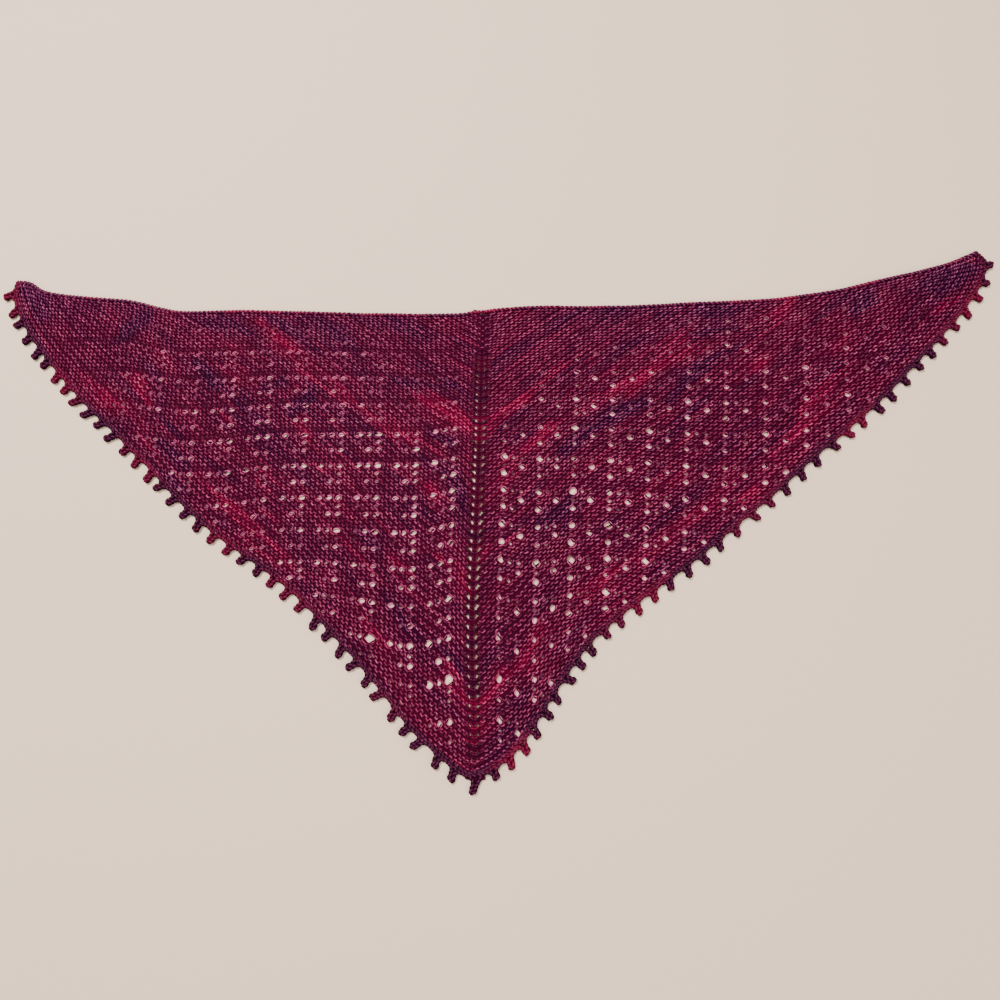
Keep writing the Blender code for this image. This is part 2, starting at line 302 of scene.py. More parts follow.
class Lace:
    """The eyelets of one wing, filed by the ridge and stitch that they stand on."""

    def __init__(self, side, seed):
        draw = random.Random(seed)
        size = 2 * int(LAST_RIDGE) + 8
        self.centre = np.zeros((size, size, 2))
        self.reach = np.zeros((size, size, 2))
        self.half = size // 2
        self.open = []
        for m in range(REPEATS):
            for k in range(REPEATS - m):
                for i, j, *shares in REPEAT:
                    share = shares[side == "right"]
                    column = FIRST_COLUMN + REPEAT_STEP * m + i
                    ridge = FIRST_RIDGE + REPEAT_STEP * k + j
                    self.add(side, column, ridge, share * draw.uniform(0.74, 1.20), draw)

    def add(self, side, column, ridge, share, draw):
        at = place_on_wing(side, np.array(float(column)), np.array(float(ridge)))
        share = share ** np.interp(neck_middle.y - at[1], LOW_DEPTHS, (1.0, LOW_SHARE_POWER[side]))
        half = opening_at(side, at) * share * np.array([draw.uniform(0.88, 1.14), draw.uniform(0.88, 1.14)])
        row, stitch = column + ridge, column - ridge
        self.centre[row, stitch + self.half] = at
        self.reach[row, stitch + self.half] = half + YARN_RADIUS * np.clip(half / 0.0012, 0.0, 1.0)
        self.open.append((row, stitch, half))

    def part(self, plan, row, stitch):
        """The yarn's places, pushed apart around the eyelets near each of them."""
        moved = plan.copy()
        near_row, near_stitch = np.rint(row).astype(int), np.rint(stitch).astype(int)
        for dr in (-1, 0, 1):
            for ds in (-1, 0, 1):
                r = np.clip(near_row + dr, 0, self.reach.shape[0] - 1)
                s = np.clip(near_stitch + ds + self.half, 0, self.reach.shape[1] - 1)
                reach = self.reach[r, s]
                is_open = reach[:, 0] > 1e-6
                away = (plan - self.centre[r, s]) / np.where(is_open[:, None], reach, 1.0)
                far = np.linalg.norm(away, axis=1) + 1e-9
                push = (np.cbrt(far**3 + 1.0) - far) * np.clip((2.0 - far) / 0.8, 0.0, 1.0) * is_open
                moved += away / far[:, None] * push[:, None] * reach
        return moved


laces = {side: Lace(side, seed) for side, seed in (("left", 21), ("right", 34))}

# The loops of one course, as shares of a stitch along the row and of a ridge across it
POINTS_PER_STITCH = 7
LOOP_NECK = 0.185  # how far a loop narrows between its head and its foot
LOOP_HEIGHT = 0.50  # how far its head and foot reach from the middle of the course
LOOP_FLATNESS = 1.9  # the head of a loop is flatter than a wave's
LOOP_LEAN = {"left": -0.045, "right": 0.060}  # the strand's own twist leans every loop the same way
CLOTH_MIDDLE = 0.0022  # how high above the surface the yarn runs, and how far the loops rise and sink
LOOP_DEPTH = 0.0011
UNEVEN_LOOP = 0.14  # how far one loop's height strays from the next one's, as a share of it
SLIP_ALONG, SLIP_ACROSS = 0.06, 0.03  # how far a loop strays from its place
WANDER_ALONG, WANDER_ACROSS = 0.20, 0.24  # how far whole stretches of a course stray together
TUCK_DEPTH = 0.0006

# The soft folds that the cloth keeps: (right and up from the middle of the neck to right and up, half
# width, height), ridges above nought and troughs below
FOLDS = (
    (-0.452, 0.008, -0.385, -0.045, 0.013, 0.0017), (-0.400, 0.002, -0.350, -0.020, 0.009, -0.0006),
    (-0.350, -0.012, -0.300, -0.030, 0.012, 0.0014), (-0.300, -0.135, -0.215, -0.205, 0.014, 0.0013),
    (-0.215, -0.060, -0.150, -0.105, 0.016, 0.0012), (-0.115, -0.250, -0.060, -0.330, 0.013, 0.0012),
    (-0.095, -0.025, -0.045, -0.060, 0.013, 0.0010), (0.040, -0.095, 0.085, -0.050, 0.013, 0.0011),
    (0.060, -0.300, 0.125, -0.240, 0.013, 0.0013), (0.150, -0.135, 0.235, -0.060, 0.015, 0.0014),
    (0.210, -0.200, 0.290, -0.130, 0.014, 0.0012), (0.310, -0.110, 0.400, -0.030, 0.012, 0.0016),
    (0.300, 0.000, 0.365, 0.012, 0.010, 0.0012), (0.420, -0.012, 0.480, 0.040, 0.011, 0.0015),
)
# The tucks are also painted darker, as shade
TUCK = {"left": 0.75, "right": 0.25}  # how deep the cloth tucks under above each row of eyelets


def from_line(plan, x0, y0, x1, y1):
    """How far places are, squared, from a line given out from the middle of the neck edge."""
    x, y = plan[:, 0] - neck_middle.x, plan[:, 1] - neck_middle.y
    length = max((x1 - x0) ** 2 + (y1 - y0) ** 2, 1e-9)
    along = np.clip(((x - x0) * (x1 - x0) + (y - y0) * (y1 - y0)) / length, 0.0, 1.0)
    return (x - x0 - along * (x1 - x0)) ** 2 + (y - y0 - along * (y1 - y0)) ** 2


def fold_height(plan):
    """How much higher or lower the folds lift the cloth."""
    return sum(rise * np.exp(-from_line(plan, *line) / width**2) for *line, width, rise in FOLDS)


def tucked(side, column, ridge):
    """How far, from 0 to 1, a place lies in the tuck above a row of eyelets."""
    above = (ridge - FIRST_RIDGE + 0.62 + REPEAT_STEP / 2) % REPEAT_STEP - REPEAT_STEP / 2
    inside = np.clip(column - 2.0, 0.0, 1.0) * np.clip(54.0 - column - ridge, 0.0, 1.0)
    begun = np.clip((ridge - FIRST_RIDGE - 1.0) / 2.0, 0.0, 1.0)
    fading = np.clip((30.0 - ridge) / 10.0, 0.25, 1.0)
    return TUCK[side] * np.exp(-((above / 0.24) ** 2)) * inside * begun * fading


SPINE_OPEN = (0.042, 0.461)  # between these depths the spine has its eyelets, and the rows stop beside it
FIRST_STITCH_COLUMN = 0.90  # where the rows start beside the spine's eyelets
CLOSED_COLUMN = 0.30  # and where they start above and below them


def grid_noise(seed, across, along, row, stitch):
    """Smooth seeded noise from 0 to 1 over a wing, stretched along the rows."""
    source = np.random.default_rng(seed).random((80, 80))
    x, y = stitch / along + 31.37, row / across + 3.71
    xi, yi = np.floor(x).astype(int), np.floor(y).astype(int)
    fx, fy = x - xi, y - yi
    fx, fy = fx * fx * (3 - 2 * fx), fy * fy * (3 - 2 * fy)
    corners = [[source[(yi + dy) % 80, (xi + dx) % 80] for dx in (0, 1)] for dy in (0, 1)]
    low = corners[0][0] * (1 - fx) + corners[0][1] * fx
    high = corners[1][0] * (1 - fx) + corners[1][1] * fx
    return low * (1 - fy) + high * fy


spine_ridges = np.arange(0.0, LAST_RIDGE + 0.5, 0.5)
SPINE_DEPTHS = neck_middle.y - place_on_wing("left", spine_ridges * 0.0, spine_ridges)[:, 1]


def course(side, number):
    """One course across a wing: its path, and the row, stitch and raise of each of its points; the raise also
    sets their painted shade and highlight.
    """
    row = 0.25 + number / 2
    beside_eyelets = SPINE_OPEN[0] + 0.007 < np.interp(row, spine_ridges, SPINE_DEPTHS) < SPINE_OPEN[1]
    first_column = FIRST_STITCH_COLUMN if beside_eyelets else CLOSED_COLUMN
    first, last = math.ceil(2 * first_column - row), math.floor(row)
    if last - first < 1:
        return None
    stitch = first - 0.5 + np.arange((last - first + 1) * POINTS_PER_STITCH + 1) / POINTS_PER_STITCH
    turn = 2 * np.pi * (stitch + 0.5)
    draw = np.random.default_rng(1000 + number * 2 + (side == "left"))
    knots = np.arange(first - 1, last + 2)
    slide, rise, lean, glint = (np.interp(stitch, knots, draw.normal(0, 1, len(knots))) for _ in range(4))
    sway = grid_noise(number // 5 + 300, 1.0, 6.0, stitch * 0, stitch) - 0.5
    along = stitch + LOOP_NECK * np.sin(2 * turn) + SLIP_ALONG * slide
    wave = np.tanh(LOOP_FLATNESS * np.cos(turn)) / np.tanh(LOOP_FLATNESS)
    across = row - LOOP_HEIGHT * (1 + UNEVEN_LOOP * rise) * wave
    across = across + LOOP_LEAN[side] * (1 + 0.5 * lean) * np.sin(2 * turn) + SLIP_ACROSS * slide
    waver = grid_noise(301 + (side == "left"), 1.6, 4.0, np.full(len(stitch), row), stitch) - 0.5
    across, along = across + WANDER_ACROSS * waver, along + WANDER_ALONG * sway
    column, ridge = (across + along) / 2, (across - along) / 2
    plan = place_on_wing(side, column, np.maximum(ridge, TOP_RIDGE))
    plan = laces[side].part(plan, across, along)
    raised = (0.5 + 0.5 * np.cos(turn) * (1 if number % 2 else -1)) ** 1.7
    height = CLOTH_MIDDLE + LOOP_DEPTH * (2 * raised - 1) * (1 + UNEVEN_LOOP * rise) + fold_height(plan)
    tuck = tucked(side, column, ridge)
    height = np.maximum(height - TUCK_DEPTH * tuck, YARN_RADIUS + 0.00005)
    # The raise sets the painted shade and highlight: it strays from loop to loop for painted glints, and the
    # tucks above the eyelet rows are painted darker
    raised = raised * np.clip(0.88 + 0.15 * glint, 0.5, 1.15) * (1 - 0.42 * tuck)
    return np.column_stack([plan, height]), np.full(len(stitch), row), stitch, raised


bands = {"upper": (1, 67), "middle": (67, 95), "lower": (95, 117)}  # the courses of each third of a wing


MIX_FACTOR, MIX_A, MIX_B, MIX_RESULT = 0, 6, 7, 2  # where a Mix node keeps its colour sockets


class Shade:
    """A socket of a material's nodes, so that shader maths reads as arithmetic."""

    def __init__(self, tree, socket):
        self.tree = tree
        self.socket = socket

    def math(self, operation, other):
        return self.node("ShaderNodeMath", {"operation": operation}, [self, other])

    def node(self, kind, settings, inputs, output=0):
        """Adds a node with its settings, fills its sockets from a list or a dict, and gives its output."""
        made = self.tree.nodes.new(kind)
        for name, value in settings.items():
            setattr(made, name, value)
        pairs = inputs.items() if isinstance(inputs, dict) else enumerate(inputs)
        for key, value in pairs:
            if isinstance(value, Shade):
                self.tree.links.new(value.socket, made.inputs[key])
            else:
                made.inputs[key].default_value = value
        return Shade(self.tree, made.outputs[output])

    def __add__(self, other):
        return self.math("ADD", other)

    __radd__ = __add__

    def __mul__(self, other):
        return self.math("MULTIPLY", other)

    __rmul__ = __mul__

    def mixed(self, colour_a, colour_b):
        """Colour a where this is 0 and colour b where it is 1."""
        a, b = (c if isinstance(c, Shade) else (*c, 1.0) for c in (colour_a, colour_b))
        sockets = {MIX_FACTOR: self, MIX_A: a, MIX_B: b}
        return self.node("ShaderNodeMix", {"data_type": "RGBA"}, sockets, MIX_RESULT)


PLUM = (0.064, 0.0014, 0.041)
BURGUNDY = (0.130, 0.0022, 0.036)
CRIMSON = (0.315, 0.0018, 0.056)
# A painted highlight: the pale pink laid on the tops of the raised loops where they face up
PAINTED_HIGHLIGHT = (0.78, 0.19, 0.34)
# A painted glow: the fine fibres at the rims of the eyelets are given this bright pink, as bright as where
# they catch the light
PAINTED_FIBRE_GLOW = (0.90, 0.20, 0.40)  # the fine fibres that stand into each eyelet and catch the light


def yarn_material(name, painted_highlight_level=0.46, strength=1.0):
    """Hand-dyed wool, burgundy pooling to plum and crimson, with painted shade between the loops and painted
    light on top.
    """
    material = bpy.data.materials.new(name)
    material.use_nodes = True
    tree = material.node_tree
    shader = tree.nodes["Principled BSDF"]
    start = Shade(tree, None)
    plum, crimson, raised, halo = (
        start.node("ShaderNodeAttribute", {"attribute_name": key}, [], "Fac")
        for key in ("plum", "crimson", "raised", "halo")
    )
    place = start.node("ShaderNodeTexCoord", {}, [], "Object")
    facing = start.node("ShaderNodeTexCoord", {}, [], "Normal")
    upwards = start.node("ShaderNodeSeparateXYZ", {}, [facing], "Z").math("MAXIMUM", 0.0)
    fibre = start.node("ShaderNodeTexNoise", {}, {"Vector": place, "Scale": 900.0, "Detail": 2.0})
    dyed = crimson.mixed(plum.mixed(BURGUNDY, PLUM), CRIMSON)
    # Painted shade: the lower the yarn lies between the loops, the darker it is painted, and the higher, the
    # paler; strength darkens the whole yarn
    depth = raised.math("POWER", 2.2) * (fibre * 1.1 + 0.45)
    shaded = depth.mixed((0.32 * strength,) * 3, (1.14 * strength,) * 3)
    toned = start.node("ShaderNodeVectorMath", {"operation": "MULTIPLY"}, [dyed, shaded])
    # Painted highlight: the higher a loop rises and the more its surface faces up, the more of the pale pink
    # it takes
    painted_highlight_mask = raised.math("POWER", 3.6) * upwards.math("POWER", 6.0) * (fibre + 0.15) * (painted_highlight_level * 1.6)
    # Painted glow where the eyelets' fibres catch the light, over the rim of each hole in the sheet
    colour = halo.math("POWER", 2.0).mixed(painted_highlight_mask.mixed(toned, PAINTED_HIGHLIGHT), PAINTED_FIBRE_GLOW)
    bump = start.node("ShaderNodeBump", {}, {"Height": fibre, "Strength": 0.5, "Distance": 0.0004})
    tree.links.new(colour.socket, shader.inputs["Base Color"])
    tree.links.new(bump.socket, shader.inputs["Normal"])
    shader.inputs["Roughness"].default_value = 0.55
    shader.inputs["Specular IOR Level"].default_value = 0.02
    shader.inputs["Sheen Weight"].default_value = 0.01
    shader.inputs["Sheen Roughness"].default_value = 0.4
    shader.inputs["Sheen Tint"].default_value = (1.0, 0.45, 0.66, 1.0)
    return material


# Where the dye pools along the rows: (right and up from the middle of the neck to right and up, half
# width, strength), crimson above nought and plum below
POOLS = (
    (-0.060, -0.095, -0.003, -0.133, 0.010, 1.3), (0.003, -0.130, 0.040, -0.100, 0.011, 1.4),
    (0.040, -0.100, 0.085, -0.060, 0.007, 0.6), (-0.244, -0.011, -0.078, -0.146, 0.006, 0.45),
    (0.070, -0.130, 0.190, -0.055, 0.006, 0.45), (-0.240, -0.015, -0.205, -0.045, 0.008, 0.45),
    (-0.195, -0.075, -0.150, -0.100, 0.009, 0.9), (-0.250, -0.010, -0.240, -0.014, 0.008, 0.4),
    (-0.050, -0.195, -0.040, -0.210, 0.008, 0.8), (-0.040, -0.270, -0.012, -0.300, 0.009, 0.9),
    (-0.028, -0.374, -0.006, -0.406, 0.008, 0.75), (-0.400, -0.005, -0.390, -0.035, 0.006, 0.5),
    (-0.365, -0.080, -0.345, -0.105, 0.007, 0.9), (-0.225, -0.185, -0.215, -0.195, 0.008, 0.7),
    (-0.235, -0.235, -0.225, -0.245, 0.008, 0.7), (-0.268, -0.110, -0.262, -0.120, 0.008, 0.7),
    (-0.375, -0.162, -0.270, -0.240, 0.006, 0.5), (-0.110, -0.330, -0.085, -0.350, 0.008, 0.5),
    (0.045, -0.150, 0.070, -0.130, 0.008, 0.8), (0.022, -0.195, 0.030, -0.165, 0.010, 0.5),
    (0.002, -0.262, 0.028, -0.243, 0.008, 0.8), (0.003, -0.408, 0.026, -0.376, 0.008, 0.85),
    (0.045, -0.370, 0.062, -0.330, 0.009, 0.6), (0.190, -0.055, 0.215, -0.035, 0.008, 0.6),
    (0.155, -0.090, 0.170, -0.075, 0.008, 0.7), (0.170, -0.012, 0.180, -0.008, 0.008, 0.6),
    (0.312, 0.000, 0.332, 0.018, 0.007, 0.7), (0.330, -0.110, 0.395, -0.050, 0.006, 0.9),
    (0.300, -0.155, 0.330, -0.130, 0.007, 0.8), (0.270, -0.205, 0.280, -0.195, 0.008, 0.6),
    (0.292, -0.062, 0.300, -0.056, 0.008, 0.7), (0.423, 0.024, 0.432, 0.034, 0.006, 0.7),
    (0.488, 0.008, 0.512, 0.022, 0.006, 0.8), (0.100, -0.300, 0.130, -0.280, 0.008, 0.5),
    (-0.028, -0.080, -0.012, -0.098, 0.010, -0.4), (-0.030, -0.145, -0.018, -0.215, 0.009, -0.5),
    (0.018, -0.128, 0.046, -0.108, 0.007, -0.8), (0.196, -0.098, 0.228, -0.062, 0.009, -0.8),
    (0.238, 0.008, 0.262, 0.012, 0.009, -0.8), (0.228, -0.024, 0.272, -0.014, 0.008, -0.7),
    (0.138, -0.118, 0.172, -0.102, 0.008, -0.8), (-0.197, -0.116, -0.174, -0.090, 0.009, -0.8),
    (-0.228, -0.088, -0.208, -0.082, 0.008, -0.7), (-0.388, -0.036, -0.358, -0.004, 0.009, -0.9),
    (0.398, 0.004, 0.422, 0.022, 0.009, -0.8), (0.490, 0.038, 0.512, 0.046, 0.010, -0.9),
    (-0.300, -0.060, -0.280, -0.085, 0.009, -0.7), (-0.330, -0.150, -0.300, -0.175, 0.008, -0.7),
    (-0.120, -0.240, -0.095, -0.262, 0.009, -0.6), (-0.480, 0.010, -0.470, -0.010, 0.010, -0.7),
    (0.060, -0.230, 0.090, -0.205, 0.010, -0.6), (0.420, -0.060, 0.450, -0.035, 0.008, -0.6),
    (-0.500, 0.028, -0.480, 0.012, 0.012, -0.5), (0.505, 0.058, 0.532, 0.060, 0.012, -0.7),
    (-0.490, 0.012, -0.340, -0.030, 0.030, -0.34), (0.400, 0.020, 0.530, 0.055, 0.016, -0.4),
    (-0.300, -0.016, -0.060, -0.016, 0.020, -0.45), (0.070, -0.004, 0.240, 0.006, 0.020, -0.45),
    (0.130, -0.290, 0.360, -0.100, 0.012, 0.35), (-0.420, -0.080, -0.130, -0.320, 0.012, 0.25),
    (-0.137, -0.101, -0.072, -0.149, 0.007, 0.7), (-0.092, -0.262, -0.070, -0.285, 0.006, 0.8),
    (-0.062, -0.258, -0.050, -0.275, 0.005, 0.6), (-0.190, -0.125, -0.178, -0.140, 0.006, 0.6),
    (-0.170, -0.172, -0.158, -0.178, 0.006, 0.6), (0.085, -0.155, 0.205, -0.065, 0.008, -0.6),
    (-0.188, -0.245, -0.165, -0.270, 0.012, -0.6), (-0.095, -0.080, -0.035, -0.085, 0.008, -0.5),
)
DYE_RUNS = ((2.6, 10.0), (0.9, 6.0), (0.25, 4.6))  # how far a shade runs across and along the rows
PLUM_BELOW, CRIMSON_ABOVE = -0.03, 0.09  # the tones between which the yarn is plain burgundy


def dye(side, plan, row, stitch):
    """How plum and how crimson the yarn is at each point of a wing."""
    seed = 100 if side == "left" else 200
    broad, patch, strand = (
        grid_noise(seed + k, *run, row, stitch) - 0.5 for k, run in enumerate(DYE_RUNS)
    )
    tone = 0.34 * broad + 0.34 * patch + 0.50 * strand
    for *line, width, strength in POOLS:
        pooled = np.exp(-from_line(plan, *line) / (0.9 * width) ** 2)
        tone = tone + 0.56 * strength * pooled * (0.85 + 1.3 * strand + 0.5 * patch)
    plum = np.clip((PLUM_BELOW - tone) * 3.2, 0.0, 1.0)
    crimson = np.clip((tone - CRIMSON_ABOVE) * 2.3, 0.0, 1.0)
    return plum, crimson


def strands_mesh(name, strands, radius, material, floats, roundness=0):
    """A mesh of strands along the paths, with one value of each float for every point of them."""
    curve = bpy.data.curves.new(name, "CURVE")
    curve.dimensions = "3D"
    curve.bevel_depth = radius
    curve.bevel_resolution = roundness
    for path in strands:
        spline = curve.splines.new("POLY")
        spline.points.add(len(path) - 1)
        spline.points.foreach_set("co", np.column_stack([path, np.ones(len(path))]).ravel())
    guide = bpy.data.objects.new(name + "_path", curve)
    bpy.context.scene.collection.objects.link(guide)
    bpy.context.view_layer.update()
    mesh = bpy.data.meshes.new_from_object(guide.evaluated_get(bpy.context.evaluated_depsgraph_get()))
    bpy.data.objects.remove(guide)
    bpy.data.curves.remove(curve)
    mesh.name = name
    tubes = bmesh.new()
    tubes.from_mesh(mesh)
    ends = [edge for edge in tubes.edges if edge.is_boundary]
    bmesh.ops.holes_fill(tubes, edges=ends, sides=2 * roundness + 4)
    tubes.to_mesh(mesh)
    tubes.free()
    points = sum(len(path) for path in strands)
    sides = len(mesh.vertices) // points
    if sides * points != len(mesh.vertices):
        raise ValueError(name + ": the rings of the strands don't match their points")
    for key, values in floats.items():
        layer = mesh.attributes.new(key, "FLOAT", "POINT")
        spread = np.repeat(np.broadcast_to(values, points), sides)
        layer.data.foreach_set("value", spread.astype(np.float32))
    mesh.materials.clear()
    mesh.materials.append(material)
    mesh.shade_smooth()
    piece = bpy.data.objects.new(name, mesh)
    bpy.context.scene.collection.objects.link(piece)
    return piece


lace_yarn = yarn_material("raspberry lace yarn")
wing_pieces = {"left": [], "right": []}
for side in SIDE:
    for band, (start, stop) in bands.items():
        runs = [run for run in (course(side, n) for n in range(start, stop)) if run]
        path = np.concatenate([run[0] for run in runs])
        row, stitch, raised = (np.concatenate([run[k] for run in runs]) for k in (1, 2, 3))
        plum, crimson = dye(side, path[:, :2], row, stitch)
        piece = strands_mesh(
            f"{side}_wing_{band}_rows", [run[0] for run in runs], YARN_RADIUS, lace_yarn,
            {"plum": plum, "crimson": crimson, "raised": raised},
        )
        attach(piece, "root")
        wing_pieces[side].append(piece)

# Behind the loops that show, the legs of the stitches close the cloth: a thin sheet in the middle of
# each wing, on the same rows, with a hole at every eyelet. It has no raise, so it is painted in the full
# shade that lies between the loops.
INNER_THICKNESS = 0.0008
INNER_MIDDLE = 0.0018  # how high the middle of the sheet lies
HALO_WIDTH = 0.0005  # how far the fine fibres stand into an eyelet from its rim
SMALLEST_HOLE = 0.0004  # half the width of the least hole that they leave
# How bright the painted glow on the fibres is
HALO_FROM = ((0.00084, 0.0026), (0.12, 1.0))  # the wider an eyelet, the brighter its fibres
CLOSED = 0.0005  # an eyelet that is pulled open less than this has no hole


def inner_sheet(side):
    """The sheet of one wing: a grid, a cell for each stitch of a ridge, laid on the wing's rows."""
    lace = laces[side]
    stitches, ridges = 2 * int(LAST_RIDGE) + 1, int(LAST_RIDGE) + 1
    bm = bmesh.new()
    bmesh.ops.create_grid(bm, x_segments=stitches, y_segments=ridges, size=0.5)
    bmesh.ops.scale(bm, verts=bm.verts, vec=(stitches, ridges, 1.0))
    bmesh.ops.translate(bm, verts=bm.verts, vec=(0.0, ridges / 2 - 0.5, 0.0))
    cuts = (
        ((2 * FIRST_STITCH_COLUMN, 0, 0), (-1, -1, 0)),
        ((0, 0, 0), (1, -1, 0)),
        ((0, LAST_RIDGE - 0.25, 0), (0, 1, 0)),
    )
    for at, outwards in cuts:
        geometry = bm.verts[:] + bm.edges[:] + bm.faces[:]
        bmesh.ops.bisect_plane(bm, geom=geometry, plane_co=at, plane_no=outwards, clear_outer=True)
    holes = {(row, stitch): half for row, stitch, half in lace.open if half.max() > CLOSED}
    eyelets = []
    for face in bm.faces:
        middle = face.calc_center_bounds()
        key = (round(middle.y), round(middle.x))
        if key in holes and len(face.verts) == 4 and face.calc_area() > 0.9:
            eyelets.append((face, holes[key]))
    lattice = np.array([v.co[:2] for v in bm.verts])
    row, stitch = lattice[:, 1], lattice[:, 0]
    plan = place_on_wing(side, (row + stitch) / 2, (row - stitch) / 2)
    plan = lace.part(plan, row, stitch)
    lift = np.maximum(INNER_MIDDLE - INNER_THICKNESS / 2 + fold_height(plan), 0.0010)
    plum, crimson = dye(side, plan, row, stitch)
    names = ("plum", "crimson", "halo")
    plum_layer, crimson_layer, halo_layer = (bm.verts.layers.float.new(name) for name in names)
    for v, at, height, p, c in zip(bm.verts, plan, lift, plum, crimson):
        v.co = (at[0], at[1], height)
        v[plum_layer] = p
        v[crimson_layer] = c
    for face, half in eyelets:
        middle = face.calc_center_median()
        bmesh.ops.inset_individual(bm, faces=[face], thickness=0.0002, use_even_offset=True)
        bmesh.ops.subdivide_edges(bm, edges=face.edges[:], cuts=1)
        for v in face.verts:
            away = (v.co - middle).normalized()
            wide, tall = np.maximum(half - HALO_WIDTH, SMALLEST_HOLE)
            reach = 1 / np.hypot(away.x / wide, away.y / tall)
            v.co = middle + away * min(reach, (v.co - middle).length)
            # The rim takes the painted glow of fibres catching the light
            v[halo_layer] = np.interp(half.mean(), *HALO_FROM)
    bmesh.ops.delete(bm, geom=[face for face, half in eyelets], context="FACES")
    bmesh.ops.recalc_face_normals(bm, faces=bm.faces)
    if sum(face.normal.z for face in bm.faces) > 0:
        bmesh.ops.reverse_faces(bm, faces=bm.faces)
    bmesh.ops.solidify(bm, geom=bm.faces[:], thickness=INNER_THICKNESS)
    bmesh.ops.recalc_face_normals(bm, faces=bm.faces)
    mesh = bpy.data.meshes.new(f"{side}_wing_cloth")
    bm.to_mesh(mesh)
    bm.free()
    mesh.materials.append(lace_yarn)
    sheet = bpy.data.objects.new(f"{side}_wing_cloth", mesh)
    bpy.context.scene.collection.objects.link(sheet)
    return sheet


cloths = {}
for side in SIDE:
    cloths[side] = inner_sheet(side)
    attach(cloths[side], "root")
    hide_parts(f"{side}_wing")

# The spine: one column of stitches knitted on every row. The rows come down to it from both wings and
# meet in a V, and the eyelets beside it, one on each ridge, draw them together in pairs.
SPINE_RIDGES = 59
SPINE_YARN = 0.00108
SPINE_DRAWN = ((0.17, 0.27, 0.42), (1.0, 1.2, 1.45))  # (how far down, how much wider the strands lie)
BACKING_HEIGHT = 0.0019  # of the strands that close the spine above and below its eyelets
CORE_HEIGHT = 0.0015  # of the three strands that run down the middle, behind the others
OPEN_FROM = (0.028, 0.060, 0.150)  # how far down the spine's eyelets start to show, show and are open
V_PATH = (  # (out from the middle, up from the bridge between two eyelets, half spread, height), in mm
    (10.5, 4.0, 2.4, 2.1), (8.4, 2.0, 2.6, 2.5), (6.9, 1.0, 2.6, 2.4), (5.9, 0.4, 1.6, 2.1),
    (4.7, 0.0, 0.80, 2.1), (3.6, -0.5, 1.5, 2.4), (2.6, -1.4, 2.5, 2.6), (-0.4, -3.0, 2.2, 1.8),
)
V_PITCH = 0.0092  # the height of a ridge that the V's path is drawn for


def spine_strands(side):
    """The rows' yarn from one wing's edge, past the eyelets, to the middle of the spine."""
    path = smooth_line(V_PATH)[::3] / 1000
    draw = random.Random(70 + (side == "left"))
    strands, rows = [], []
    for ridge in range(-1, SPINE_RIDGES):
        above, middle, below = (
            place_on_wing(side, np.array(0.0), np.array(max(ridge + step, TOP_RIDGE)))
            for step in (0.0, 0.5, 1.0)
        )
        pitch = max(above[1] - below[1], 0.002)
        depth = neck_middle.y - middle[1]
        is_open = SPINE_OPEN[0] < depth < SPINE_OPEN[1]
        open_share = np.interp(depth, OPEN_FROM, (0.0, 0.6, 1.0))
        drawn = np.interp(depth, *SPINE_DRAWN) * draw.uniform(0.9, 1.5)
        spread = pitch * 0.30 + (np.minimum(path[:, 2] * drawn, pitch * 0.36) - pitch * 0.30) * open_share
        height = path[:, 3] if is_open else np.full(len(path), BACKING_HEIGHT)
        spread = spread if is_open else np.full(len(path), pitch * 0.33)
        for turn in (-1.0, 0.0, 1.0) if is_open else (-1.0, -0.33, 0.33, 1.0):
            slip = draw.uniform(-0.0003, 0.0003)
            x = middle[0] + SIDE[side] * path[:, 0]
            y = middle[1] + path[:, 1] * pitch / V_PITCH + turn * spread + slip
            lower = 0.0006 * (turn == 0.0)
            strands.append(np.column_stack([x, np.minimum(y, above[1] + 0.004), height - lower]))
            rows.append(np.full(len(path), ridge + 0.5 + turn * 0.25))
    return strands, np.concatenate(rows)


spine_paths, spine_rows = [], []
for side in SIDE:
    strands, rows = spine_strands(side)
    spine_paths += strands
    spine_rows.append(rows)
core_down = np.linspace(0.2, LAST_RIDGE - 1.0, 70)
core = place_on_wing("right", np.zeros(70), core_down)
for shift in (-0.0013, 0.0, 0.0013):
    spine_paths.append(np.column_stack([core + np.array([shift, 0.0]), np.full(70, CORE_HEIGHT)]))
path = np.concatenate(spine_paths)
rows = np.concatenate(spine_rows + [np.tile(core_down, 3)])
plum, crimson = dye("right", path[:, :2], rows, -rows)
# The spine's strands are painted darker the lower they lie: painted shade, from each strand's height
spine_piece = strands_mesh(
    "centre_spine_stitches", spine_paths, SPINE_YARN, lace_yarn,
    {"plum": plum, "crimson": crimson, "raised": np.clip((path[:, 2] - 0.0014) / 0.0020, 0.0, 0.8)},
)
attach(spine_piece, "root")
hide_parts("centre_spine")

